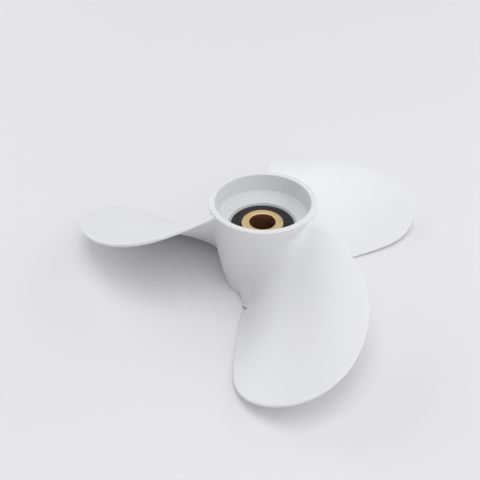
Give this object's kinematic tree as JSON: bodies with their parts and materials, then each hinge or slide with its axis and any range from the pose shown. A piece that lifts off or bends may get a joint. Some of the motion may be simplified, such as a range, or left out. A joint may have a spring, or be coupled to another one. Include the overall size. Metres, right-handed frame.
{
  "type": "outboard boat propeller",
  "caption": "Right-hand boat propeller: enamelled hub and blades in one casting, cupped forward end, rubber bush and brass shaft sleeve.",
  "frame": {"origin": "on the shaft axis, at the height of the centre of volume, 19.4 mm above the hub's aft end", "axes": "+Z along the shaft towards the boat, the cupped forward end; the first blade points about 76 degrees from +X towards -Y"},
  "size_m": [0.1698, 0.1645, 0.0445],
  "materials": {
    "white_enamel": "gloss",
    "black_rubber": "satin",
    "brass": "machined"
  },
  "bodies": {
    "root": {"hub_and_blades_casting": "white_enamel", "rubber_bush": "black_rubber", "brass_sleeve": "brass"}
  },
  "joints": []
}
